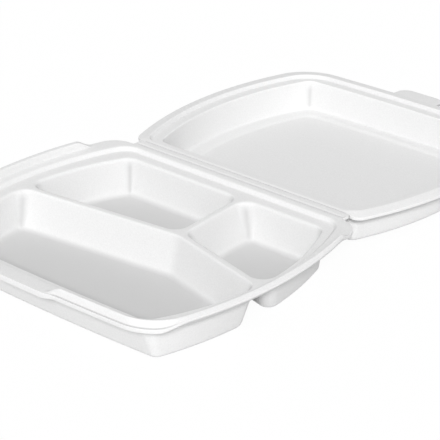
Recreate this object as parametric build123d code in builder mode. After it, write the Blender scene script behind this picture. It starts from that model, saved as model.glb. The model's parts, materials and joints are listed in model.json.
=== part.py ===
from build123d import *

import os
from functools import partial
from math import asin, atan2, cos, degrees, hypot, radians, sqrt, tan

# Foam clamshell meal box: a three-pocket tray and its lid, formed from one foam sheet, opened flat.
# The hinge axis runs along X. Outlines are drawn by their distance from that axis: the tray lies on its
# -Y side and the lid on its +Y side. Heights of the tray are above the table. Heights of the lid are taken
# from the hinge axis, and the finished lid is then swung down until its panel meets the table.

# foam sheet
sheet = 2.1
overrun = 1.0

# tray: the recess that the lid drops into, at rim level
recess_width = 183.6
recess_depth = 176.0
recess_side_bow = 18.4
recess_front_bow = 2.5
recess_setback = 12.2
recess_rear_radius = 14.0
recess_front_radius = 30.0
recess_drop = 2.8
recess_run = 1.9

# tray: flat rim around the recess
rim_width = 10.6
rim_corner_margin = 14.0
rim_setback = 8.5
rim_rear_radius = 17.0
rim_front_radius = 32.0

# tray: raised lip on the rim, along the sides and the front
lip_width = 4.8
lip_height = 5.2
lip_run = 1.0
lip_start = 30.0
lip_ramp = 12.0

# tray: flat gap in the lip, with the tab that carries the lid's tab
gap_width = 52.0
tab_reach = 1.0
tab_radius = 12.0

# tray: pockets
pocket_depth = 26.3
pocket_inset = 10.5
pocket_side_inset = 7.5
pocket_shift = 3.0
pocket_radius = 13.0
wall_run = 3.0
side_run = 6.0
divider_run = 6.8
floor_radius = 3.5
edge_radius = 2.0
divider_width = 5.0
divider_apex_x = 25.0
divider_apex_distance = 87.0
divider_left_sweep = 6.7
divider_right_sweep = 13.9
spine_front_x = 23.0
spine_rear_x = 17.5

# hinge strip between the tray and the lid
strip_width = 181.0
strip_gap = 0.6
hinge_rise = 0.5
crease_distance = 6.0
crease_width = 2.0
crease_depth = 0.9

# lid
lid_setback = 2.5
lid_taper = 2.2
lid_sink = 0.2
lid_flange = 6.6
lid_fall = 0.5
lid_near_radius = 14.0
lid_edge_radius = 8.0
lid_step_drop = 2.6
lid_step_run = 1.7
lid_ledge = 7.5
lid_depth = 21.4
lid_run = 2.1
lid_wall_radius = 20.0
lid_floor_radius = 3.5
lid_shoulder = 7.7
lid_panel_depth = 1.1
lid_panel_run = 5.0
lid_panel_radius = 12.0
lid_tab_width = 38.0
lid_tab_reach = 12.4
lid_tab_radius = 9.0
nest_gap = 1.4

# heights of the tray above the table, and of the hinge axis
ledge_h = sheet + pocket_depth
rim_h = ledge_h + recess_drop
hinge_h = rim_h + hinge_rise

# distances from the hinge axis, and half widths, of the main outlines
recess_half = recess_width / 2
recess_middle = recess_half + recess_side_bow
recess_far = recess_setback + recess_depth
rim_far = recess_far + rim_width
lid_offset = rim_width - lip_width - nest_gap - lid_flange
lid_far = recess_far + lid_offset
tab_end = rim_far + recess_front_bow + tab_reach
lid_tab_end = lid_far + recess_front_bow + lid_flange + lid_tab_reach

TRAY, LID = -1, 1


def circle_through(a, b, c):
    """The centre and radius of the circle through three points of the plane."""
    (ax, ay), (bx, by), (cx, cy) = a, b, c
    twist = 2 * (ax * (by - cy) + bx * (cy - ay) + cx * (ay - by))
    aa, bb, cc = ax * ax + ay * ay, bx * bx + by * by, cx * cx + cy * cy
    x = (aa * (by - cy) + bb * (cy - ay) + cc * (ay - by)) / twist
    y = (aa * (cx - bx) + bb * (ax - cx) + cc * (bx - ax)) / twist
    return x, y, hypot(ax - x, ay - y)


def far_corner(side_arc, front_arc, grow):
    """Where the side's arc and the front's arc, both grown by a distance, meet on the right."""
    side_x, side_y, side_r = side_arc
    front_x, front_y, front_r = front_arc
    side_r, front_r = side_r + grow, front_r + grow
    dx, dy = side_x - front_x, side_y - front_y
    apart = hypot(dx, dy)
    along = (front_r ** 2 - side_r ** 2 + apart ** 2) / (2 * apart)
    across = sqrt(front_r ** 2 - along ** 2)
    crossings = [(front_x + (along * dx + turn * across * dy) / apart,
                  front_y + (along * dy - turn * across * dx) / apart) for turn in (-1, 1)]
    return max(crossings)


def bowed_outline(side, sizes, grow, shift=0):
    """Draws a loop with a straight hinge edge, bowed sides and a bowed front, grown outward by a distance.

    The sizes are the distances of the hinge edge and the front from the hinge axis, and the half widths
    at the hinge edge, in the middle and at the front. The whole loop is moved along X by the shift.
    """
    near, far, near_half, middle_half, far_half = sizes
    middle = (near + far) / 2
    side_arc = circle_through((near_half, near), (middle_half, middle), (far_half, far))
    front_arc = circle_through((-far_half, far), (0, far + recess_front_bow), (far_half, far))
    near_v = near - grow
    near_x = side_arc[0] + sqrt((side_arc[2] + grow) ** 2 - (near_v - side_arc[1]) ** 2)
    far_x, far_v = far_corner(side_arc, front_arc, grow)
    side_x, side_v = side_arc[0] + side_arc[2] + grow, side_arc[1]
    front_v = far + recess_front_bow + grow
    with BuildLine() as loop:
        Line((shift - near_x, side * near_v), (shift + near_x, side * near_v))
        ThreePointArc((shift + near_x, side * near_v), (shift + side_x, side * side_v),
                      (shift + far_x, side * far_v))
        ThreePointArc((shift + far_x, side * far_v), (shift, side * front_v), (shift - far_x, side * far_v))
        ThreePointArc((shift - far_x, side * far_v), (shift - side_x, side * side_v),
                      (shift - near_x, side * near_v))
    make_face(loop.edges())


def rounded_outline(side, near_radius, far_radius, sizes, grow):
    """Draws a bowed outline, grown outward by a distance, with its corners rounded."""
    bowed_outline(side, sizes, grow)
    fillet(vertices().group_by(Axis.Y, reverse=side == TRAY)[0], near_radius + grow)
    fillet(vertices().group_by(Axis.Y, reverse=side == TRAY)[-1], far_radius + grow)


recess_sizes = (recess_setback, recess_far, recess_half, recess_middle, recess_half)
rim_sizes = (rim_setback, rim_far, recess_half + rim_corner_margin, recess_middle + rim_width,
             recess_half + rim_width)
lid_sizes = (lid_setback, lid_far, recess_half - lid_taper, recess_middle + lid_offset,
             recess_half + lid_offset)
lid_edge_sizes = (strip_gap / 2, lid_far + lid_flange, recess_half - lid_taper + lid_flange,
                  recess_middle + lid_offset + lid_flange, recess_half + lid_offset + lid_flange)

recess_outline = partial(rounded_outline, TRAY, recess_rear_radius, recess_front_radius, recess_sizes)
rim_outline = partial(rounded_outline, TRAY, rim_rear_radius, rim_front_radius, rim_sizes)
lid_outline = partial(rounded_outline, LID, lid_near_radius, recess_front_radius + lid_offset, lid_sizes)
lid_wall_outline = partial(rounded_outline, LID, lid_wall_radius, lid_wall_radius, lid_sizes)
lid_edge_outline = partial(rounded_outline, LID, lid_edge_radius,
                           recess_front_radius + lid_offset + lid_flange, lid_edge_sizes)


def between(low_outline, low_h, low_grow, high_outline, high_h, high_grow):
    """The solid between one outline at a low height and another at a higher one."""
    with BuildPart() as solid:
        with BuildSketch(Plane.XY.offset(low_h)):
            low_outline(low_grow)
        with BuildSketch(Plane.XY.offset(high_h)):
            high_outline(high_grow)
        loft(ruled=True)
    return solid.part


def prism(plane, points, reach):
    """A block with a drawn profile, reaching equally to both sides of its plane."""
    with BuildPart() as solid:
        with BuildSketch(plane):
            with BuildLine():
                Polyline(*points, close=True)
            make_face()
        extrude(amount=reach, both=True)
    return solid.part


# the tray's rim: a flat slab, the wall of the recess and the ledge inside it
recess_slope = recess_run / recess_drop
with BuildPart() as rim:
    with BuildSketch(Plane.XY.offset(rim_h - sheet)):
        rim_outline(0)
    extrude(amount=sheet)
    with BuildSketch(Plane.XY.offset(ledge_h - sheet)):
        recess_outline(sheet)
    extrude(amount=rim_h - ledge_h + sheet)
    add(between(recess_outline, ledge_h, -recess_run,
                recess_outline, rim_h + overrun, recess_slope * overrun), mode=Mode.SUBTRACT)

# the raised lip: steep inside and flat on top, stopped by a ramp near the hinge and by the tab's gap
lip_top = rim_h + lip_height
lip_top_width = lip_width - lip_run
lip_slope = lip_run / lip_height
side_reach = recess_middle + rim_width + overrun
front_reach = tab_end + overrun


def lip_zone(low_h, start):
    """The space in front of the ramps, above a height, where the lip stands."""
    top = lip_top + overrun
    ramp = lip_ramp * (top - low_h) / lip_height
    profile = [(-start, low_h), (-front_reach, low_h), (-front_reach, top), (-start - ramp, top)]
    return prism(Plane.YZ, profile, side_reach)


def gap_zone(low_h, half_width):
    """The space of the tab's gap, opening upward, above a height."""
    top = lip_top + overrun
    wide = half_width + top - low_h
    profile = [(-half_width, low_h), (half_width, low_h), (wide, top), (-wide, top)]
    return prism(Plane.XZ, profile, front_reach)


def slab(outline, low_h, high_h, grow):
    """The solid above an outline, between two heights."""
    with BuildPart() as solid:
        with BuildSketch(Plane.XY.offset(low_h)):
            outline(grow)
        extrude(amount=high_h - low_h)
    return solid.part


with BuildPart() as lip:
    add(slab(rim_outline, rim_h - sheet / 2, lip_top, 0))
    add(between(rim_outline, rim_h - sheet, -lip_width - lip_slope * sheet,
                rim_outline, lip_top + overrun, lip_slope * overrun - lip_top_width), mode=Mode.SUBTRACT)
    add(lip_zone(rim_h - sheet / 2, lip_start), mode=Mode.INTERSECT)
    add(gap_zone(rim_h - sheet / 2, gap_width / 2), mode=Mode.SUBTRACT)

# the hollow under the lip, which leaves the sheet's own thickness
with BuildPart() as lip_hollow:
    add(slab(rim_outline, rim_h - sheet - overrun, lip_top - sheet, overrun))
    add(between(rim_outline, rim_h - sheet - overrun - overrun, sheet - lip_width,
                rim_outline, lip_top, sheet - lip_top_width), mode=Mode.SUBTRACT)
    add(lip_zone(rim_h - sheet - overrun, lip_start + sheet), mode=Mode.INTERSECT)
    add(gap_zone(rim_h - sheet - overrun, gap_width / 2 + sheet), mode=Mode.SUBTRACT)

# the tab in the lip's gap, the hinge strip, and the crease pressed into the strip
with BuildPart() as tab:
    with BuildSketch(Plane.XY.offset(rim_h - sheet)):
        with BuildLine():
            Polyline((-gap_width / 2, -recess_far), (gap_width / 2, -recess_far), (gap_width / 2, -tab_end),
                     (-gap_width / 2, -tab_end), close=True)
        make_face()
        fillet(vertices().group_by(Axis.Y)[0], tab_radius)
    extrude(amount=sheet)

with BuildPart() as strip:
    with BuildSketch(Plane.YZ):
        with BuildLine():
            Polyline((-strip_gap / 2, rim_h - sheet), (-strip_gap / 2, rim_h),
                     (-crease_distance + crease_width / 2, rim_h), (-crease_distance, rim_h - crease_depth),
                     (-crease_distance - crease_width / 2, rim_h), (-rim_setback - overrun, rim_h),
                     (-rim_setback - overrun, rim_h - sheet), close=True)
        make_face()
    extrude(amount=strip_width / 2, both=True)

# the pockets: the chevron divider and the spine behind it part the recess's floor in three
wall_slope = wall_run / pocket_depth
side_slope = side_run / pocket_depth
divider_slope = divider_run / pocket_depth
half_divider = divider_width / 2


def divider_edge(x, shift):
    """A point of a line beside the chevron divider's middle line, moved toward the front by a distance."""
    sweep = radians(divider_left_sweep if x < divider_apex_x else divider_right_sweep)
    return x, -divider_apex_distance - shift / cos(sweep) - abs(x - divider_apex_x) * tan(sweep)


def front_region(grow):
    """The space in front of the chevron divider."""
    edge = [divider_edge(x, half_divider - grow) for x in (-side_reach, divider_apex_x, side_reach)]
    return edge + [(side_reach, -front_reach), (-side_reach, -front_reach)]


def rear_region(hand, grow):
    """The space behind the chevron divider, on the left (-1) or on the right (1) of the spine."""
    inset = hand * (half_divider - grow)
    near_spine = divider_edge(spine_front_x + inset, grow - half_divider)
    far_end = divider_edge(hand * side_reach, grow - half_divider)
    return [near_spine, far_end, (hand * side_reach, 0), (spine_rear_x + inset, 0)]


def pocket_outline(region, skin, depth):
    """Draws one pocket at a depth below the recess's floor, grown by the thickness of its skin.

    The walls at the hinge and the front are steep and the others slope more. The mouths lie a little to the
    right of the floors, so the ledge is wide on the left. The corners are rounded.
    """
    divider_grow = skin - divider_slope * depth
    end_inset = pocket_inset + wall_slope * depth
    side_inset = pocket_side_inset + side_slope * depth
    sizes = (recess_setback + end_inset, recess_far - end_inset, recess_half - side_inset,
             recess_middle - side_inset, recess_half - side_inset)
    bowed_outline(TRAY, sizes, skin, pocket_shift * (1 - depth / pocket_depth))
    with BuildLine() as border:
        Polyline(*region(divider_grow), close=True)
    make_face(border.edges(), mode=Mode.INTERSECT)
    fillet(vertices(), pocket_radius + divider_grow)


regions = (front_region, partial(rear_region, -1), partial(rear_region, 1))


def round_floor(solid, radius):
    """Rounds the lowest edges of a solid."""
    with BuildPart() as rounded:
        add(solid)
        fillet(edges().group_by(Axis.Z)[0], radius)
    return rounded.part


with BuildPart() as base_tray:
    add(rim.part)
    add(lip.part)
    add(lip_hollow.part, mode=Mode.SUBTRACT)
    add(tab.part)
    add(strip.part)
    for region in regions:
        outside = partial(pocket_outline, region, sheet)
        shell = between(outside, 0, ledge_h, outside, ledge_h - sheet / 2, sheet / 2)
        add(round_floor(shell, floor_radius + sheet))
    for region in regions:
        inside = partial(pocket_outline, region, 0)
        hollow = between(inside, sheet, pocket_depth, inside, ledge_h + overrun, -overrun)
        add(round_floor(hollow, floor_radius), mode=Mode.SUBTRACT)
    level = faces().filter_by(Plane.XY).filter_by_position(Axis.Z, ledge_h - sheet / 4, ledge_h + sheet / 4)
    ledge = level.sort_by(SortBy.AREA)[-1]
    fillet([edge for wire in ledge.inner_wires() for edge in wire.edges()], edge_radius)

# lid levels, measured from the hinge axis
crest_h = -lid_sink
lid_edge_h = crest_h - lid_fall
lid_ledge_h = crest_h - lid_step_drop
shoulder_h = lid_ledge_h - lid_depth
panel_h = shoulder_h - lid_panel_depth
lid_bottom_h = panel_h - sheet

# lid outlines, measured inward from the crest
wall_inset = lid_step_run + lid_ledge
shoulder_inset = wall_inset + lid_run
panel_inset = shoulder_inset + lid_shoulder
lid_slope = lid_run / lid_depth
lid_wall = sheet * hypot(1, lid_slope)
step_slope = lid_step_run / lid_step_drop
panel_slope = lid_panel_run / lid_panel_depth


def panel_outline(grow):
    """Draws the edge of the lid's raised middle panel, grown outward by a distance."""
    bowed_outline(LID, lid_sizes, grow - panel_inset)
    fillet(vertices(), lid_panel_radius + grow)


# the lid's flange slopes from the crest to the cut edge
lid_rise = lid_fall / lid_flange


def lid_slope_solid(drop):
    """What lies under the flange's slope, moved down by a distance."""
    return between(lid_edge_outline, lid_edge_h - drop - lid_rise * overrun, overrun,
                   lid_outline, crest_h - drop + lid_rise * overrun, -overrun)


with BuildPart() as lid_flange_sheet:
    add(slab(lid_edge_outline, lid_edge_h - sheet - overrun, crest_h + overrun, 0))
    add(lid_slope_solid(0), mode=Mode.INTERSECT)
    add(lid_slope_solid(sheet), mode=Mode.SUBTRACT)

with BuildPart() as lid_tab:
    with BuildSketch(Plane.XY.offset(lid_edge_h - sheet)):
        with BuildLine():
            Polyline((-lid_tab_width / 2, lid_far), (lid_tab_width / 2, lid_far),
                     (lid_tab_width / 2, lid_tab_end), (-lid_tab_width / 2, lid_tab_end), close=True)
        make_face()
        fillet(vertices().group_by(Axis.Y)[-1], lid_tab_radius)
    extrude(amount=sheet)

with BuildPart() as lid:
    add(lid_flange_sheet.part)
    add(lid_tab.part)
    with BuildSketch(Plane.XY.offset(lid_ledge_h - sheet)):
        lid_outline(sheet - lid_step_run)
    extrude(amount=lid_step_drop + sheet / 2)
    outer_grow = lid_wall - wall_inset
    wall = between(lid_wall_outline, shoulder_h - sheet, outer_grow - lid_slope * (lid_depth + sheet),
                   lid_wall_outline, lid_ledge_h - sheet / 2, outer_grow)
    add(round_floor(wall, lid_floor_radius + sheet))
    add(between(panel_outline, lid_bottom_h, sheet - lid_panel_run,
                panel_outline, shoulder_h - sheet / 2, sheet))
    add(between(lid_outline, lid_ledge_h, -lid_step_run,
                lid_outline, crest_h + overrun, step_slope * overrun), mode=Mode.SUBTRACT)
    hollow = between(lid_wall_outline, shoulder_h, -shoulder_inset,
                     lid_wall_outline, lid_ledge_h + overrun, lid_slope * overrun - wall_inset)
    add(round_floor(hollow, lid_floor_radius), mode=Mode.SUBTRACT)
    add(between(panel_outline, panel_h, -lid_panel_run,
                panel_outline, shoulder_h + overrun, panel_slope * overrun), mode=Mode.SUBTRACT)


# the lid hangs from the hinge until the far edge of its panel meets the table
panel_far = lid_far + recess_front_bow - panel_inset - lid_panel_run + sheet
droop = degrees(asin(hinge_h / hypot(panel_far, lid_bottom_h)) - atan2(-lid_bottom_h, panel_far))
hung_lid = Pos(0, 0, hinge_h) * Rot(-droop, 0, 0) * lid.part

# the middle of the opened box lies over the origin
hinge_y = (tab_end - hung_lid.bounding_box().max.Y) / 2
tray_part = Pos(0, hinge_y, 0) * base_tray.part
lid_part = Pos(0, hinge_y, 0) * hung_lid

tray_part.label = "base_tray"
lid_part.label = "lid"
os.makedirs("parts", exist_ok=True)
export_step(tray_part, "parts/base_tray.step")
export_step(lid_part, "parts/lid.step")
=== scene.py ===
"""Foam clamshell meal box, opened flat: the looks of its tray, its lid and the crease between them.

Shapes are worked out in millimetres in a plan whose first axis is X and whose second is the distance
from the hinge. The tray lies on the -Y side of the hinge and the lid on its +Y side.
"""

import json
from math import asin, atan2, cos, hypot, radians, sin, tan

import bmesh
import bpy
import numpy as np
from mathutils import Matrix, Vector


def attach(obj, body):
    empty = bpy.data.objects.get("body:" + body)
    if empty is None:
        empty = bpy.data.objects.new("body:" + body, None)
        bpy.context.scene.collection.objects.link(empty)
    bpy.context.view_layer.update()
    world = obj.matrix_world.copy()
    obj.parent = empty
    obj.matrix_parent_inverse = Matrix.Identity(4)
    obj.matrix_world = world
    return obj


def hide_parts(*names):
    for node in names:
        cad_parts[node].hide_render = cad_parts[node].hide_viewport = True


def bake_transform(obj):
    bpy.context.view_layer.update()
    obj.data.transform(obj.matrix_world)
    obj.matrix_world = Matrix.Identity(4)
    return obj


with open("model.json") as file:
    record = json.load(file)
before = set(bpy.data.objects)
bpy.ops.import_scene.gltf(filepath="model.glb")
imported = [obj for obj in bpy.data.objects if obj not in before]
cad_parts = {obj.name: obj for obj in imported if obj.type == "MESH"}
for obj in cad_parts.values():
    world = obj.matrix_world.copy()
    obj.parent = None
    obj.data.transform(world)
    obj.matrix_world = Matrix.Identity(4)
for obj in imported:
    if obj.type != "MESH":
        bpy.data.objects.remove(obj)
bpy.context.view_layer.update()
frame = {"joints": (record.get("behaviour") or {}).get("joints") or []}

MM = 0.001

# foam sheet: its thickness, and how far its cut edges are rounded
SHEET = 2.1
CUT_ROUND = 0.35

# tray: recess, rim and lip
RECESS_SETBACK = 12.2
RECESS_FAR = 188.2
RECESS_HALF = 91.8
RECESS_MIDDLE = 110.2
FRONT_BOW = 2.5
RECESS_DROP = 2.8
RECESS_RUN = 1.9
RECESS_REAR_RADIUS = 14.0
RECESS_FRONT_RADIUS = 30.0
RIM_SETBACK = 8.5
RIM_WIDTH = 10.58
RIM_CORNER_MARGIN = 14.0
RIM_RIGHT_MARGIN = 10.8
RIM_REAR_RADIUS = 17.0
RIM_FRONT_RADIUS = 32.0
LIP_WIDTH = 4.8
LIP_RUN = 1.0
LIP_HEIGHT = 5.2
# the lip's level top, which is twice as wide on the left
LIP_TOP = 1.2
# how far the lip falls to its outer edge, how thick that edge is and how far in from it the fall ends
FRONT_FALL = 4.5
FRONT_EDGE = 2.8
FRONT_FLAT = 0.9
RIGHT_FALL = 1.4
RIGHT_EDGE = 1.35
RIGHT_FLAT = 0.3
# painted shade as a grey line at the foot of the front lip, for the shade that falls in that fold: how dark it
# is painted, how far outside the end of the fall it lies, and how far it spreads across and up
FOLD_PAINTED_SHADE = 0.8
FOLD_OUT = 0.3
FOLD_HALF = 0.5
FOLD_HEIGHT = 0.3
# the right lip is narrower near the hinge, and takes its full width over a length
RIGHT_PINCH = 2.0
PINCH_START = 20.0
PINCH_LENGTH = 80.0
# where the lip starts to rise on the left and right, and where it sinks beside the front tab
LIP_START = 30.0
LIP_RIGHT_START = 24.0
LIP_RAMP = 12.0
GAP_HALF = 18.5
GAP_RAMP = 13.0
# what lies this near the front of the recess can be part of the front tab or the gap in the lip
FRONT_ZONE = 40.0
# the least width of the flat rim's underside
RIM_LEAST = 1.5
# front tab
TAB_REACH = 1.0
TAB_RADIUS = 12.0
TAB_HALF = 29.0
TAB_SKIRT = 1.6

# tray: pockets
POCKET_DEPTH = 26.3
POCKET_END = 10.5
MOUTH_RADIUS = 10.0
FLOOR_CORNER = 3.6
FLOOR_LEAD = 7.0
FOOT_OUTSIDE = 4.0
DIVIDER_HALF = 2.5
# painted shade in the pockets, for the shade in their corners and on their floors: the half width of a corner's
# line, how dark corners and floors are painted, and the share of the depth at which the floor begins
CORNER_LINE = 2.2
CORNER_PAINTED_SHADE = 0.75
FLOOR_PAINTED_SHADE = 0.75
FLOOR_SHARE = 0.88
# how far each kind of wall's mouth lies inside its line, and how far its foot lies inside its mouth
WALLS = {"end": (10.5, 3.0), "front": (5.5, 8.0), "left": (10.5, 3.0), "right": (4.5, 9.0),
         "divider": (DIVIDER_HALF, 6.8), "rear_right": (DIVIDER_HALF, 14.0)}
# how far out on the ledge each kind of wall begins, and how far its mouth and its foot are softened
SOFTNESS = {"end": (4.0, 3.0, 5.0), "front": (1.4, 0.4, 1.5), "left": (4.0, 3.0, 5.0), "right": (1.4, 0.4, 1.5),
            "divider": (2.0, 3.0, 5.0), "rear_right": (2.0, 3.0, 5.0)}
# how far the foot of the right wall lies farther out at its two ends than its mouth does
RIGHT_SPREAD = 6.0
# the chevron divider's point, its arms and the spine behind it
APEX_X = 25.0
APEX_V = 87.0
APEX_SOFTNESS = 16.0
LEFT_SWEEP = radians(6.7)
RIGHT_SWEEP = radians(13.9)
SPINE_FRONT_X = 23.0
SPINE_REAR_X = 17.5
# a place along each arm of the divider, by X, and along the spine, by its distance from the hinge
LEFT_ARM_X = -40.0
RIGHT_ARM_X = 62.0
SPINE_V = 50.0

# hinge strip
STRIP_HALF = 90.5
STRIP_GAP = 0.3
HINGE_RISE = 0.5
CREASE_V = 6.0
CREASE_HALF = 1.0
CREASE_DEPTH = 0.9
CREASE_FADE = 4.0
# how far the strip has to run on past the crease's groove, and where its edge's rounding begins
GROOVE_MARGIN = 1.5
STRIP_EDGE = 0.4
# the bending piece between tray and lid: half its length, and how far its middle dips
CREASE_PIECE_HALF = 87.0
CREASE_PIECE_DIP = 0.9

# lid
LID_SETBACK = 2.5
LID_TAPER = 2.2
LID_SINK = 0.2
LID_NEAR_RADIUS = 14.0
LID_EDGE_RADIUS = 8.0
LID_OFFSET = -2.2
LID_FLANGE = 6.6
LID_FALL = 0.5
LID_STEP_DROP = 2.6
LID_STEP_RUN = 1.7
LID_LEDGE = 7.5
LID_DEPTH = 21.4
LID_RUN = 2.1
LID_WALL_RADIUS = 17.0
LID_SHOULDER = 7.7
LID_PANEL_DEPTH = 1.1
LID_PANEL_RUN = 5.0
LID_PANEL_RADIUS = 12.0
LID_TAB_HALF = 19.0
LID_TAB_REACH = 12.4
LID_TAB_RADIUS = 9.0
# on the right the lid's crest stands higher and its flange's edge lower
LID_BEAD = 0.5
LID_RIGHT_FALL = 1.0
# half the crest's level top, and how dark the corners of the wall are painted, as painted shade
LID_CREST_HALF = 0.4
LID_CORNER_PAINTED_SHADE = 0.7
# how far the flange's level edge reaches in at least, and what counts as the front
LID_EDGE_FLAT = 0.3
LID_FRONT_ZONE = 5.0
# how far the rings reach out on the flat areas: ledge from the step, above and below, ledge and shoulder from
# the wall, and shoulder and panel from the panel's slope
STEP_LEAD = 1.2
STEP_LOW_LEAD = -0.1
WALL_LEAD = 1.4
WALL_LOW_LEAD = 1.2
WALL_FOOT_LEAD = 3.4
PANEL_LEAD = 1.5
PANEL_FOOT_LEAD = 2.0
# how far the panel's slope is set in from both its ends
PANEL_TRIM = 0.7

# heights
LEDGE_H = SHEET + POCKET_DEPTH
RIM_H = LEDGE_H + RECESS_DROP
HINGE_H = RIM_H + HINGE_RISE
HINGE_Y = frame["joints"][0]["pos_m"][1] / MM
LID_FAR = RECESS_FAR + LID_OFFSET
CREST_H = -LID_SINK
LID_EDGE_H = CREST_H - LID_FALL
LID_LEDGE_H = CREST_H - LID_STEP_DROP
SHOULDER_H = LID_LEDGE_H - LID_DEPTH
PANEL_H = SHOULDER_H - LID_PANEL_DEPTH
WALL_INSET = LID_STEP_RUN + LID_LEDGE
SHOULDER_INSET = WALL_INSET + LID_RUN
PANEL_INSET = SHOULDER_INSET + LID_SHOULDER
PANEL_FAR = LID_FAR + FRONT_BOW - PANEL_INSET - LID_PANEL_RUN + SHEET
LID_BOTTOM_H = PANEL_H - SHEET
DROOP = asin(HINGE_H / hypot(PANEL_FAR, LID_BOTTOM_H)) - atan2(-LID_BOTTOM_H, PANEL_FAR)


class Straight:
    """A straight side of an outline, by one of its points and its outward normal."""

    def __init__(self, point, normal, middle):
        self.point = np.array(point, float)
        self.normal = np.array(normal, float) / np.linalg.norm(normal)
        self.middle = np.array(middle, float)

    def distance(self, p):
        return float(self.normal @ (p - self.point))

    def outward(self, p):
        return self.normal

    def walk(self, start, end, grow, shares):
        return start + np.outer(shares, end - start)


class Bow:
    """A side of an outline that bows outward, as the arc through three points."""

    def __init__(self, a, b, c):
        (ax, ay), (bx, by), (cx, cy) = a, b, c
        twist = 2 * (ax * (by - cy) + bx * (cy - ay) + cx * (ay - by))
        aa, bb, cc = ax * ax + ay * ay, bx * bx + by * by, cx * cx + cy * cy
        self.centre = np.array([(aa * (by - cy) + bb * (cy - ay) + cc * (ay - by)) / twist,
                                (aa * (cx - bx) + bb * (ax - cx) + cc * (bx - ax)) / twist])
        self.radius = np.linalg.norm(np.array(a) - self.centre)
        self.middle = np.array(b, float)

    def distance(self, p):
        return float(np.linalg.norm(p - self.centre) - self.radius)

    def outward(self, p):
        return (p - self.centre) / np.linalg.norm(p - self.centre)

    def walk(self, start, end, grow, shares):
        first = atan2(*(start - self.centre)[::-1])
        last = atan2(*(end - self.centre)[::-1])
        turn = (last - first + np.pi) % (2 * np.pi) - np.pi
        angles = first + turn * shares
        return self.centre + (self.radius + grow) * np.stack([np.cos(angles), np.sin(angles)], 1)


def corner_centre(side_a, side_b, grow_a, grow_b, radius, guess):
    """The centre of the arc that rounds the corner between two sides, each grown by a distance."""
    p = np.array(guess, float)
    for _ in range(30):
        miss = np.array([side_a.distance(p) - grow_a + radius, side_b.distance(p) - grow_b + radius])
        p = p - np.linalg.solve(np.stack([side_a.outward(p), side_b.outward(p)]), miss)
    return p


def outline(sides, grows, radii, counts, weights=None):
    """Points, outward normals and weights round a loop of sides with rounded corners.

    Corner i follows side i. Each side is grown by its own distance, and counts gives the steps along
    each side and round each corner, so that loops of different sizes match point for point.
    """
    n = len(sides)
    weights = weights if weights is not None else [0.0] * n
    heart = sum(side.middle for side in sides) / n
    centres = []
    for i, side in enumerate(sides):
        after = sides[(i + 1) % n]
        guess = side.middle + after.middle - heart
        centres.append(corner_centre(side, after, grows[i], grows[(i + 1) % n], radii[i], guess))
    points, normals, shares_out = [], [], []
    for i, side in enumerate(sides):
        before, here = centres[i - 1], centres[i]
        start = before + radii[i - 1] * side.outward(before)
        end = here + radii[i] * side.outward(here)
        along = side.walk(start, end, grows[i], np.arange(counts[i][0]) / counts[i][0])
        points.extend(along)
        normals.extend(side.outward(p) for p in along)
        shares_out.extend([weights[i]] * len(along))
        after = (i + 1) % n
        first = atan2(*side.outward(here)[::-1])
        last = atan2(*sides[after].outward(here)[::-1])
        turn = (last - first) % (2 * np.pi)
        for share in np.arange(counts[i][1]) / counts[i][1]:
            normal = np.array([cos(first + turn * share), sin(first + turn * share)])
            points.append(here + radii[i] * normal)
            normals.append(normal)
            shares_out.append(weights[i] + (weights[after] - weights[i]) * share)
    return np.array(points), np.array(normals), np.array(shares_out)


def bowed_sides(near, far, near_half, middle_half, far_half):
    """The hinge side, right side, front and left side of a bowed outline."""
    middle = (near + far) / 2
    return [Straight((0, near), (0, -1), (0, near)),
            Bow((near_half, near), (middle_half, middle), (far_half, far)),
            Bow((far_half, far), (0, far + FRONT_BOW), (-far_half, far)),
            Bow((-far_half, far), (-middle_half, middle), (-near_half, near))]


def soft_profile(points, lengths, steps, cuts):
    """A profile through points, with each inner corner softened over a length to both sides.

    Each softened corner has the same number of steps, and cuts gives the steps of each straight run,
    so that profiles of one kind match point for point.
    """
    points = [np.array(p, float) for p in points]
    knots = [(points[0], points[0])]
    corners = []
    for before, here, after, length in zip(points, points[1:], points[2:], lengths):
        back, ahead = before - here, after - here
        in_run, out_run = np.linalg.norm(back), np.linalg.norm(ahead)
        enter = here + back / in_run * min(length, 0.48 * in_run)
        leave = here + ahead / out_run * min(length, 0.48 * out_run)
        knots.append((enter, leave))
        corners.append((enter, here, leave))
    knots.append((points[-1], points[-1]))
    path = []
    for i, run in enumerate(cuts):
        start, end = knots[i][1], knots[i + 1][0]
        path.extend(start + (end - start) * k / run for k in range(run))
        if i < len(corners):
            enter, here, leave = corners[i]
            for k in range(steps):
                t = k / steps
                path.append((1 - t) ** 2 * enter + 2 * t * (1 - t) * here + t * t * leave)
    path.append(points[-1])
    return np.array(path)


def underside(points, thickness):
    """The points of a profile moved down by the sheet's thickness, square to the runs on both sides."""
    points = np.array(points, float)
    runs = np.diff(points, axis=0)
    runs /= np.linalg.norm(runs, axis=1)[:, None]
    down = np.stack([runs[:, 1], -runs[:, 0]], 1)
    before = np.vstack([down[:1], down])
    after = np.vstack([down, down[-1:]])
    share = 1 + np.sum(before * after, axis=1)
    return points + thickness * (before + after) / share[:, None]


def reach(points, normals, edge):
    """How far each point's outward ray runs until it crosses a closed edge line."""
    ends = np.roll(edge, -1, axis=0)
    found = np.full(len(points), np.inf)
    for i, (p, n) in enumerate(zip(points, normals)):
        step = ends - edge
        cross = n[0] * step[:, 1] - n[1] * step[:, 0]
        cross = np.where(np.abs(cross) < 1e-9, 1e-9, cross)
        gap = edge - p
        along = (gap[:, 0] * step[:, 1] - gap[:, 1] * step[:, 0]) / cross
        share = (gap[:, 0] * n[1] - gap[:, 1] * n[0]) / cross
        hit = (along > 0) & (share >= -1e-6) & (share <= 1 + 1e-6)
        found[i] = along[hit].min()
    return found


def ease(value):
    """A smooth rise from 0 to 1."""
    value = np.clip(value, 0.0, 1.0)
    return value * value * (3 - 2 * value)


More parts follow.
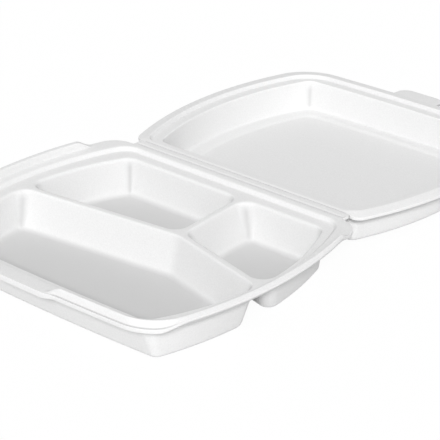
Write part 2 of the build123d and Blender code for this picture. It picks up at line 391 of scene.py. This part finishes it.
def off_corner(sides, side_steps, corner_steps, radius):
    """How far each point of an outline lies from the middle of the corner that ends its side."""
    steps = np.abs(np.arange(side_steps + corner_steps) - side_steps - corner_steps / 2)
    return np.tile(steps / corner_steps * np.pi / 2 * radius, sides)


def make_piece(name, mesh, material):
    """An object at the origin from a finished surface, with its faces turned outward."""
    bmesh.ops.recalc_face_normals(mesh, faces=mesh.faces)
    data = bpy.data.meshes.new(name)
    mesh.to_mesh(data)
    mesh.free()
    data.materials.append(material)
    piece = bpy.data.objects.new(name, data)
    bpy.context.scene.collection.objects.link(piece)
    return piece


class FoamMesh:
    """Collects the rings of a foam sheet's surface and closes them to one skin.

    Its float attribute is painted shade: 1 where the colour is fully darkened for shade in creases, corners and
    floors, 0 elsewhere.
    """

    def __init__(self, place):
        self.mesh = bmesh.new()
        self.painted_shade = self.mesh.verts.layers.float.new("painted_shade")
        self.place = place

    def ring(self, plan, heights, painted_shade_amount=0.0):
        """One closed ring of points, at one height or at a height for each point."""
        heights = np.broadcast_to(heights, (len(plan),))
        painted_shade_amount = np.broadcast_to(painted_shade_amount, (len(plan),))
        verts = [self.mesh.verts.new(self.place(x, v, z)) for (x, v), z in zip(plan, heights)]
        # each point keeps its share of painted shade
        for vert, value in zip(verts, painted_shade_amount):
            vert[self.painted_shade] = value
        return verts

    def skin(self, rings):
        """Faces between each ring and the next."""
        for low, high in zip(rings, rings[1:]):
            for i in range(len(low)):
                self.mesh.faces.new((low[i - 1], low[i], high[i], high[i - 1]))

    def fill(self, *loops):
        """A flat area between rings, or inside one."""
        edges = [self.mesh.edges.get((loop[i - 1], loop[i])) for loop in loops for i in range(len(loop))]
        bmesh.ops.triangle_fill(self.mesh, use_beauty=True, edges=edges)

    def finish(self, name, material):
        """The closed skin as a smoothly shaded piece."""
        for face in self.mesh.faces:
            face.smooth = True
        return make_piece(name, self.mesh, material)


def tray_place(x, v, z):
    """A point of the tray in metres, from its plan place and its height above the table."""
    return x * MM, (HINGE_Y - v) * MM, z * MM


def lid_place(x, v, z):
    """A point of the lid in metres, from its plan place and its height above the hinge axis."""
    y = v * cos(DROOP) + z * sin(DROOP)
    h = z * cos(DROOP) - v * sin(DROOP)
    return x * MM, (HINGE_Y + y) * MM, (HINGE_H + h) * MM


# counts of steps along the hinge side, right side, front and left side, and round the corner after each
BAND_COUNTS = [(120, 36), (90, 30), (150, 30), (90, 36)]
EDGE_COUNTS = [(40, 40)] * 4
# counts of steps along each side and round each corner
POCKET_STEPS = (24, 14)
LID_STEPS = (60, 20)


def tray_rim(foam):
    """The rim of the tray: recess step, flat rim, raised lip, front tab, hinge strip and cut edge."""
    recess = bowed_sides(RECESS_SETBACK, RECESS_FAR, RECESS_HALF, RECESS_MIDDLE, RECESS_HALF)
    radii = [RECESS_REAR_RADIUS, RECESS_FRONT_RADIUS, RECESS_FRONT_RADIUS, RECESS_REAR_RADIUS]
    points, normals, _ = outline(recess, [0] * 4, radii, BAND_COUNTS)
    rim = bowed_sides(RIM_SETBACK, RECESS_FAR + RIM_WIDTH, RECESS_HALF + RIM_CORNER_MARGIN,
                      RECESS_MIDDLE + RIM_WIDTH, RECESS_HALF + RIM_WIDTH)
    rim[1] = Bow((RECESS_HALF + RIM_RIGHT_MARGIN, RIM_SETBACK), rim[1].middle,
                 (RECESS_HALF + RIM_WIDTH, RECESS_FAR + RIM_WIDTH))
    edge, _, _ = outline(rim, [0] * 4, [RIM_REAR_RADIUS, RIM_FRONT_RADIUS, RIM_FRONT_RADIUS, RIM_REAR_RADIUS],
                         EDGE_COUNTS)
    widths = reach(points, normals, edge)
    sections, painted_shade_amount = [], []
    for (x, v), (nx, nv), width in zip(points, normals, widths):
        at_front = v > RECESS_FAR - FRONT_ZONE
        skirt = 0.0
        crossing = x + nx * (v - RIM_SETBACK) / -nv if nv < 0 else np.inf
        on_strip = abs(crossing) < STRIP_HALF
        if on_strip:
            to_hinge = (v - STRIP_GAP) / -nv
            to_end = (STRIP_HALF - abs(x)) / abs(nx) if abs(nx) > 1e-6 else np.inf
            width = min(to_hinge, to_end)
        elif at_front:
            on_tab = ease((TAB_HALF - abs(x)) / TAB_RADIUS)
            width += TAB_REACH * on_tab
            skirt = TAB_SKIRT * on_tab
        pinch = RIGHT_PINCH * (1 - ease((v - PINCH_START) / PINCH_LENGTH)) if x > 0 else 0.0
        lip_width = LIP_WIDTH - pinch
        marks = [width - lip_width, width - lip_width + LIP_RUN]
        lip_start = LIP_RIGHT_START if x > 0 else LIP_START
        lip = ease((v + nv * marks[1] - lip_start) / LIP_RAMP)
        if at_front:
            lip *= ease((abs(x) - GAP_HALF) / GAP_RAMP)
        # shares of the right, left and front lip's shape, by the way that this place faces
        right, left = ease((nx - 0.7) / 0.25), ease((-nx - 0.1) / 0.5)
        front = 1 - right - left
        marks += [marks[1] + LIP_TOP * (1 + left), width - FRONT_FLAT + (FRONT_FLAT - RIGHT_FLAT) * right]
        crest = RIM_H + lip * LIP_HEIGHT
        foot = crest - lip * (front * FRONT_FALL + right * RIGHT_FALL)
        thicker = front * (FRONT_EDGE - SHEET) + right * (RIGHT_EDGE - SHEET)
        edge_low = foot - SHEET - skirt - lip * thicker
        levels = [RIM_H, crest, crest, foot]
        groove = 0.0
        if on_strip and (v - CREASE_V + CREASE_HALF) / -nv < width - GROOVE_MARGIN:
            middle, half = (v - CREASE_V) / -nv, CREASE_HALF / -nv
            marks = [middle - half, middle, middle + half, width - STRIP_EDGE]
            groove = CREASE_DEPTH * ease((STRIP_HALF - abs(x + nx * middle)) / CREASE_FADE)
            levels[1] = RIM_H - groove
        base = [(-RECESS_RUN - 1.0, LEDGE_H), (-RECESS_RUN, LEDGE_H), (0, RIM_H), (width, RIM_H)]
        below = [tuple(p) for p in underside(base, SHEET)]
        below[-1:] = [(max(marks[0], RIM_LEAST), RIM_H - SHEET), (width, edge_low)]
        profile = base[:3] + list(zip(marks, levels)) + [(width, foot)] + below[::-1]
        # softened corners, from the ledge over the lip to the cut edge, and back underneath
        lengths = [0.9, 0.9, 0.6, 0.7, 0.7, 0.3, CUT_ROUND, CUT_ROUND, 1.0, 0.6, 1.0]
        section = soft_profile(profile, lengths, 5, [1, 2, 1, 1, 1, 10, 3, 1, 1, 1, 1, 1])
        sections.append(section)
        # painted shade: the crease's groove is darkened by how deep it is pressed, and the line at the foot of
        # the front lip
        in_groove = groove and np.abs(section[:, 0] - marks[1]) < marks[1] - marks[0]
        pressed = np.where(section[:, 1] > RIM_H - CREASE_DEPTH, (RIM_H - section[:, 1]) / CREASE_DEPTH, 0)
        fold_shade = np.abs(section[:, 0] - marks[3] - FOLD_OUT) < FOLD_HALF
        fold_shade &= np.abs(section[:, 1] - foot) < FOLD_HEIGHT
        painted_shade_amount.append(np.where(in_groove, pressed, fold_shade * lip * front * FOLD_PAINTED_SHADE))
    sections, painted_shade_amount = np.array(sections), np.array(painted_shade_amount)
    rings = []
    for k in range(sections.shape[1]):
        plan = points + normals * sections[:, k, :1]
        rings.append(foam.ring(plan, sections[:, k, 1], painted_shade_amount[:, k]))
    foam.skin(rings)
    return rings[0], rings[-1]


def divider_sides(toward_front):
    """The left and right arms of the chevron divider, as sides of a pocket in front of it or behind it."""
    way = -1.0 if toward_front else 1.0
    left = Straight((APEX_X, APEX_V), (way * sin(LEFT_SWEEP), way * cos(LEFT_SWEEP)),
                    (LEFT_ARM_X, APEX_V + (APEX_X - LEFT_ARM_X) * tan(LEFT_SWEEP)))
    right = Straight((APEX_X, APEX_V), (-way * sin(RIGHT_SWEEP), way * cos(RIGHT_SWEEP)),
                     (RIGHT_ARM_X, APEX_V + (RIGHT_ARM_X - APEX_X) * tan(RIGHT_SWEEP)))
    return left, right


def pocket_sides(depth):
    """The sides of the front, rear left and rear right pocket at a share of their depth, and their kinds."""
    hinge_side, _, front, _ = bowed_sides(RECESS_SETBACK, RECESS_FAR, RECESS_HALF, RECESS_MIDDLE,
                                          RECESS_HALF)
    near, far = RECESS_SETBACK + POCKET_END, RECESS_FAR - POCKET_END
    spread = RECESS_HALF + RIGHT_SPREAD * depth
    right_side = bowed_sides(near, far, spread, RECESS_MIDDLE, spread)[1]
    left_side = bowed_sides(near, far, RECESS_HALF, RECESS_MIDDLE, RECESS_HALF)[3]
    lean = (SPINE_FRONT_X - SPINE_REAR_X) / (APEX_V - DIVIDER_HALF)
    spine_middle = (SPINE_REAR_X + lean * SPINE_V, SPINE_V)
    spine_left = Straight((SPINE_REAR_X, 0), (1, -lean), spine_middle)
    spine_right = Straight((SPINE_REAR_X, 0), (-1, lean), spine_middle)
    left_front, right_front = divider_sides(True)
    left_rear, right_rear = divider_sides(False)
    return [([left_front, right_front, right_side, front, left_side],
             ["divider", "divider", "right", "front", "left"]),
            ([hinge_side, spine_left, left_rear, left_side], ["end", "divider", "divider", "left"]),
            ([hinge_side, right_side, right_rear, spine_right], ["end", "right", "rear_right", "divider"])]


def pocket_rings(foam, pocket, profiles, skin):
    """Rings down a pocket, from the profile of each kind of wall, grown by the thickness of the skin."""
    rings = []
    for step in range(len(profiles["end"])):
        depth = np.clip((LEDGE_H - profiles["end"][step][1]) / POCKET_DEPTH, 0, 1)
        sides, kinds = pocket_sides(depth)[pocket]
        insides = [profiles[kind][step] for kind in kinds]
        grows = [skin - WALLS[kind][0] - d for kind, (d, _) in zip(kinds, insides)]
        radius = skin + MOUTH_RADIUS + (FLOOR_CORNER - MOUTH_RADIUS) * depth
        radii = [radius] * len(sides)
        if pocket == 0:
            radii[0] += APEX_SOFTNESS
        plan, normals, heights = outline(sides, grows, radii, [POCKET_STEPS] * len(sides),
                                         [z for _, z in insides])
        from_corner = off_corner(len(sides), *POCKET_STEPS, radius)
        # painted shade: a grey line down the corners and a grey floor, where shade falls deep in the pocket
        at_floor = ease((depth - FLOOR_SHARE) / (1 - FLOOR_SHARE))
        corner_shade = ease(depth / 0.25) * (1 - at_floor) / (1 + (from_corner / CORNER_LINE) ** 2)
        # painted shade only in the corners at the far left of a pocket, where the photo shows a grey line
        corner_shade *= ease((0.3 - normals[:, 1]) / 0.3) * ease((-normals[:, 0] - 0.1) / 0.3)
        painted_shade_amount = (skin == 0) * np.maximum(CORNER_PAINTED_SHADE * corner_shade, FLOOR_PAINTED_SHADE * at_floor)
        rings.append(foam.ring(plan, heights, painted_shade_amount))
    foam.skin(rings)
    foam.fill(rings[-1])
    return rings[0]


def tray_pockets(foam):
    """The three pockets, inside and outside. Returns the rings where they meet the ledge's two faces."""
    inside, outside = {}, {}
    for kind, (_, run) in WALLS.items():
        lead, mouth, foot = SOFTNESS[kind]
        inside[kind] = soft_profile([(-lead, LEDGE_H), (0, LEDGE_H), (run, SHEET), (run + FLOOR_LEAD, SHEET)],
                                    [mouth, foot], 8, [1, 6, 2])
        low_run, high_run = run / POCKET_DEPTH * LEDGE_H, run / POCKET_DEPTH * SHEET
        outside[kind] = soft_profile([(high_run, LEDGE_H - SHEET), (low_run, 0), (low_run + FLOOR_LEAD, 0)],
                                     [FOOT_OUTSIDE], 8, [4, 2])
    mouths = [pocket_rings(foam, pocket, inside, 0.0) for pocket in range(3)]
    roots = [pocket_rings(foam, pocket, outside, SHEET) for pocket in range(3)]
    return mouths, roots


def make_tray(material):
    """The tray as one closed skin: rim, pockets, and the ledge's upper and lower face between them."""
    foam = FoamMesh(tray_place)
    ledge, ledge_below = tray_rim(foam)
    mouths, roots = tray_pockets(foam)
    foam.fill(ledge, *mouths)
    foam.fill(ledge_below, *roots)
    return foam.finish("foam_tray", material)


def lid_sides():
    """The sides of the lid's crest line."""
    return bowed_sides(LID_SETBACK, LID_FAR, RECESS_HALF - LID_TAPER, RECESS_MIDDLE + LID_OFFSET,
                       RECESS_HALF + LID_OFFSET)


def lid_rim(foam):
    """The lid's rim: ledge, step, crest, flange, front tab and cut edge."""
    front_radius = RECESS_FRONT_RADIUS + LID_OFFSET
    radii = [LID_NEAR_RADIUS, front_radius, front_radius, LID_NEAR_RADIUS]
    points, normals, _ = outline(lid_sides(), [0] * 4, radii, BAND_COUNTS)
    edge_sides = bowed_sides(STRIP_GAP, LID_FAR + LID_FLANGE, RECESS_HALF - LID_TAPER + LID_FLANGE,
                             RECESS_MIDDLE + LID_OFFSET + LID_FLANGE, RECESS_HALF + LID_OFFSET + LID_FLANGE)
    edge_front = front_radius + LID_FLANGE
    edge, _, _ = outline(edge_sides, [0] * 4, [LID_EDGE_RADIUS, edge_front, edge_front, LID_EDGE_RADIUS],
                         EDGE_COUNTS)
    widths = reach(points, normals, edge)
    tab_end = LID_FAR + FRONT_BOW + LID_FLANGE + LID_TAB_REACH
    sections = []
    for (x, v), (nx, nv), width in zip(points, normals, widths):
        slope_end = min(LID_FLANGE, width - LID_EDGE_FLAT)
        side = abs(x + nx * width)
        if v > LID_FAR - LID_FRONT_ZONE and side < LID_TAB_HALF:
            fallen = max(0.0, side - LID_TAB_HALF + LID_TAB_RADIUS)
            width = (tab_end - v) / nv - LID_TAB_RADIUS + np.sqrt(LID_TAB_RADIUS ** 2 - fallen ** 2)
        right = ease((nx - 0.2) / 0.5)
        crest, edge_h = CREST_H + LID_BEAD * right, LID_EDGE_H - LID_RIGHT_FALL * right
        base = [(-LID_STEP_RUN - STEP_LEAD, LID_LEDGE_H), (-LID_STEP_RUN, LID_LEDGE_H), (0, crest),
                (slope_end, edge_h), (width, edge_h)]
        top = base[:2] + [(-LID_CREST_HALF, crest), (LID_CREST_HALF, crest)] + base[3:]
        below = underside(base, SHEET)
        below[0] = (-LID_STEP_RUN - STEP_LOW_LEAD, LID_LEDGE_H - SHEET)
        below[-1] = (width, edge_h - SHEET)
        profile = top + [tuple(p) for p in below[::-1]]
        # softened corners, from the ledge over the crest to the cut edge, and back underneath
        lengths = [0.8, 0.6, 0.6, 0.3, CUT_ROUND, CUT_ROUND, 0.5, 1.0, 1.0]
        sections.append(soft_profile(profile, lengths, 6, [1] * 10))
    sections = np.array(sections)
    rings = []
    for k in range(sections.shape[1]):
        rings.append(foam.ring(points + normals * sections[:, k, :1], sections[:, k, 1]))
    foam.skin(rings)
    return rings[0], rings[-1]


def lid_rings(foam, profile, radius, painted_shade_amount=0.0):
    """Rings round the lid, each at its distance out from the crest line and its height.

    The last argument is how far the colour is darkened as painted shade in the middle of each corner. It comes
    in over the first 8 mm below the ledge and goes out over the last 3 mm above the shoulder.
    """
    rings = []
    for d, z in profile:
        plan, _, _ = outline(lid_sides(), [d] * 4, [radius + d] * 4, [LID_STEPS] * 4)
        from_corner = off_corner(4, *LID_STEPS, radius + d)
        # painted shade down the middle of each corner of the wall
        corner_shade = painted_shade_amount * ease((LID_LEDGE_H - z) / 8) * ease((z - SHOULDER_H) / 3)
        rings.append(foam.ring(plan, z, corner_shade / (1 + (from_corner / CORNER_LINE) ** 2)))
    foam.skin(rings)
    return rings


def lid_wall(foam):
    """The lid's steep wall, inside and outside, as its upper and lower rings."""
    inside = [(WALL_LEAD - WALL_INSET, LID_LEDGE_H), (-WALL_INSET, LID_LEDGE_H),
              (-SHOULDER_INSET, SHOULDER_H), (-SHOULDER_INSET - WALL_FOOT_LEAD, SHOULDER_H)]
    outside = underside(inside[::-1], SHEET)[::-1]
    outside[0] = (WALL_LOW_LEAD + SHEET - WALL_INSET, LID_LEDGE_H - SHEET)
    inside = soft_profile(inside, [1.3, 2.8], 8, [1, 6, 1])
    outside = soft_profile(outside, [1.0, 3.4], 8, [1, 4, 1])
    return [[rings[0], rings[-1]] for rings in
            (lid_rings(foam, inside, LID_WALL_RADIUS, LID_CORNER_PAINTED_SHADE),
             lid_rings(foam, outside, LID_WALL_RADIUS))]


def lid_panel(foam):
    """The raised middle panel of the lid, seen from inside as a shallow pan."""
    inside = [(PANEL_LEAD, SHOULDER_H), (-PANEL_TRIM, SHOULDER_H), (PANEL_TRIM - LID_PANEL_RUN, PANEL_H),
              (-LID_PANEL_RUN - PANEL_FOOT_LEAD, PANEL_H)]
    outside = underside(inside[::-1], SHEET)[::-1]
    loops = []
    for profile in (inside, outside):
        soft = soft_profile(profile, [1.2, 1.4], 6, [1, 2, 1])
        rings = lid_rings(foam, [(d - PANEL_INSET, z) for d, z in soft], PANEL_INSET + LID_PANEL_RADIUS)
        foam.fill(rings[-1])
        loops.append(rings[0])
    return loops


def make_lid(material):
    """The lid as one closed skin: rim, wall and panel, with the ledge and the shoulder between them."""
    foam = FoamMesh(lid_place)
    for ledge, wall, panel in zip(lid_rim(foam), lid_wall(foam), lid_panel(foam)):
        foam.fill(ledge, wall[0])
        foam.fill(wall[1], panel)
    return foam.finish("foam_lid", material)


def make_crease(material):
    """The narrow strip of foam that bends between the tray's hinge strip and the lid, all in painted shade."""
    half, rows, dip = CREASE_PIECE_HALF * MM, 16, CREASE_PIECE_DIP * MM
    lid_top = lid_place(0, STRIP_GAP, LID_EDGE_H)
    lid_low = lid_place(0, STRIP_GAP, LID_EDGE_H - SHEET)
    tray_top = tray_place(0, STRIP_GAP, RIM_H)
    tray_low = tray_place(0, STRIP_GAP, RIM_H - SHEET)
    mesh = bmesh.new()
    painted_shade = mesh.verts.layers.float.new("painted_shade")
    grid = []
    for i in range(rows + 1):
        share = i / rows
        top = Vector(tray_top).lerp(Vector(lid_top), share)
        top.z -= dip * (1 - abs(2 * share - 1))
        low = Vector(tray_low).lerp(Vector(lid_low), share)
        grid.append([mesh.verts.new((x, end.y, end.z)) for x in (-half, half) for end in (top, low)])
        # painted shade over the whole piece, for the shade in the hinge's gap
        for vert in grid[-1]:
            vert[painted_shade] = 1.0
    for a, b in zip(grid, grid[1:]):
        for i, j in ((0, 2), (2, 3), (3, 1), (1, 0)):
            mesh.faces.new((a[i], a[j], b[j], b[i]))
    for end in (grid[0], grid[-1]):
        mesh.faces.new((end[0], end[2], end[3], end[1]))
    return make_piece("foam_crease", mesh, material)


def linear(hex_colour):
    """An sRGB hex colour as linear RGBA."""
    parts = [int(hex_colour[i:i + 2], 16) / 255 for i in (1, 3, 5)]
    return [p / 12.92 if p <= 0.04045 else ((p + 0.055) / 1.055) ** 2.4 for p in parts] + [1.0]


def add_node(tree, kind, links=(), **settings):
    """Adds a node, sets its attributes and sockets, and links sockets from others into it."""
    node = tree.nodes.new(kind)
    for name, value in settings.items():
        if hasattr(node, name):
            setattr(node, name, value)
        else:
            node.inputs[name.replace("_", " ")].default_value = value
    for socket, source in links:
        tree.links.new(source, node.inputs[socket])
    return node


def foam_material():
    """Expanded polystyrene sheet, hot-formed: a matt white skin of fine pressed cells.

    The eye sees a faint grain and soft edges where light spreads inside the foam. Lines, corners and floors
    are greyer from painted shade, set by the mesh's shade attribute where shade falls in them.
    """
    # real cells are about half a millimetre wide, drawn at 0.9 mm so that they show in the picture
    cell = 0.9 * MM
    # light spreads inside the foam over about half the sheet's thickness
    spread = 1.2 * MM
    material = bpy.data.materials.new("polystyrene_foam_sheet")
    material.use_nodes = True
    tree = material.node_tree
    shader = tree.nodes["Principled BSDF"]
    place = add_node(tree, "ShaderNodeTexCoord")
    cells = add_node(tree, "ShaderNodeTexNoise", [("Vector", place.outputs["Object"])], Scale=1 / cell,
                     Detail=2.0)
    tint = add_node(tree, "ShaderNodeValToRGB", [("Fac", cells.outputs["Fac"])])
    for stop, position, colour in zip(tint.color_ramp.elements, (0.3, 0.7), ("#DFDFDF", "#E5E5E5")):
        stop.position, stop.color = position, linear(colour)
    painted_shade = add_node(tree, "ShaderNodeAttribute", attribute_name="painted_shade")
    # painted shade: the shade attribute mixes the foam's colour toward grey
    skin = add_node(tree, "ShaderNodeMixRGB",
                    [("Fac", painted_shade.outputs["Fac"]), ("Color1", tint.outputs["Color"])], Color2=linear("#C2C2C2"))
    bump = add_node(tree, "ShaderNodeBump", [("Height", cells.outputs["Fac"])], Strength=0.15,
                    Distance=0.1 * MM)
    tree.links.new(skin.outputs["Color"], shader.inputs["Base Color"])
    tree.links.new(bump.outputs["Normal"], shader.inputs["Normal"])
    shader.inputs["Roughness"].default_value = 0.8
    shader.inputs["IOR"].default_value = 1.45
    shader.inputs["Specular IOR Level"].default_value = 0.1
    shader.inputs["Subsurface Weight"].default_value = 0.6
    shader.inputs["Subsurface Radius"].default_value = (1.0, 1.0, 1.0)
    shader.inputs["Subsurface Scale"].default_value = spread
    return material


def backdrop_material():
    """A paper floor: white to the camera, with the box's shadow left faintly on it, and a plain pale grey
    that gives the box a soft bounce from below.
    """
    material = bpy.data.materials.new("white_paper_floor")
    material.use_nodes = True
    tree = material.node_tree
    tree.nodes.remove(tree.nodes["Principled BSDF"])
    paper = add_node(tree, "ShaderNodeBsdfDiffuse", Color=linear("#DCDCDC"))
    bright_paper = add_node(tree, "ShaderNodeBsdfDiffuse", Color=linear("#FFFFFF"))
    glow = add_node(tree, "ShaderNodeEmission", Strength=1.0)
    path = add_node(tree, "ShaderNodeLightPath")
    seen = path.outputs["Is Camera Ray"]
    for also in ("Is Glossy Ray", "Is Transmission Ray"):
        seen = add_node(tree, "ShaderNodeMath", [(0, seen), (1, path.outputs[also])],
                        operation="MAXIMUM").outputs[0]
    # nearly all glow, so that the camera sees white, with a little plain paper to carry the shadow
    shown = add_node(tree, "ShaderNodeMixShader", [(1, bright_paper.outputs[0]), (2, glow.outputs[0])],
                     Fac=0.95)
    mix = add_node(tree, "ShaderNodeMixShader", [("Fac", seen), (1, paper.outputs[0]), (2, shown.outputs[0])])
    tree.links.new(mix.outputs[0], tree.nodes["Material Output"].inputs["Surface"])
    return material


def make_floor():
    """A wide plain floor, a hair below the tray so that the two faces don't meet."""
    data = bpy.data.meshes.new("studio_floor")
    half, low = 6.0, -0.0002
    data.from_pydata([(-half, -half, low), (half, -half, low), (half, half, low), (-half, half, low)], [],
                     [(0, 1, 2, 3)])
    data.materials.append(backdrop_material())
    floor = bpy.data.objects.new("studio_floor", data)
    bpy.context.scene.collection.objects.link(floor)


def direction(azimuth, elevation):
    """The way from the box toward something at an azimuth from the front and an elevation."""
    return Vector((sin(azimuth) * cos(elevation), -cos(azimuth) * cos(elevation), sin(elevation)))


# camera: azimuth and elevation of the photograph's view, and its place in millimetres, with Y from the hinge
CAMERA_AZIMUTH = radians(41.16)
CAMERA_ELEVATION = radians(25.81)
CAMERA_PLACE = (742.19, -870.81, 551.96)
CAMERA_LENS = 155.47


def make_camera():
    """The photograph's camera, as fitted to its rim and floor lines."""
    data = bpy.data.cameras.new("photo_camera")
    data.lens = CAMERA_LENS
    data.sensor_width = 36.0
    data.clip_end = 50.0
    camera = bpy.data.objects.new("photo_camera", data)
    back = direction(CAMERA_AZIMUTH, CAMERA_ELEVATION)
    right = Vector((cos(CAMERA_AZIMUTH), sin(CAMERA_AZIMUTH), 0))
    up = back.cross(right)
    x, y, z = CAMERA_PLACE
    place = Vector((x, y + HINGE_Y, z)) * MM
    camera.matrix_world = Matrix.Translation(place) @ Matrix((right, up, back)).transposed().to_4x4()
    bpy.context.scene.collection.objects.link(camera)
    bpy.context.scene.camera = camera


# soft light from the camera's side, low, over an even white room
KEY_AZIMUTH = radians(40)
KEY_ELEVATION = radians(31)
KEY_STRENGTH = 2.55
KEY_SOFTNESS = radians(8)
ROOM_STRENGTH = 0.55


def make_lights():
    """The key light, and a white room that the camera sees as plain white."""
    data = bpy.data.lights.new("key_softbox", "SUN")
    data.energy = KEY_STRENGTH
    data.angle = KEY_SOFTNESS
    key = bpy.data.objects.new("key_softbox", data)
    key.rotation_euler = direction(KEY_AZIMUTH, KEY_ELEVATION).to_track_quat("Z", "Y").to_euler()
    bpy.context.scene.collection.objects.link(key)
    world = bpy.data.worlds.new("white_room")
    world.use_nodes = True
    tree = world.node_tree
    room = tree.nodes["Background"]
    room.inputs["Color"].default_value = linear("#FFFFFF")
    room.inputs["Strength"].default_value = ROOM_STRENGTH
    seen = add_node(tree, "ShaderNodeBackground", Color=linear("#FFFFFF"), Strength=1.0)
    path = add_node(tree, "ShaderNodeLightPath")
    mix = add_node(tree, "ShaderNodeMixShader",
                   [("Fac", path.outputs["Is Camera Ray"]), (1, room.outputs[0]), (2, seen.outputs[0])])
    tree.links.new(mix.outputs[0], tree.nodes["World Output"].inputs["Surface"])
    bpy.context.scene.world = world


foam_skin = foam_material()
tray = make_tray(foam_skin)
lid = make_lid(foam_skin)
crease = make_crease(foam_skin)
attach(tray, "tray")
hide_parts("base_tray")
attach(lid, "lid")
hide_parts("lid")
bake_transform(crease)

make_floor()
make_camera()
make_lights()
bpy.context.scene.view_settings.view_transform = "Standard"
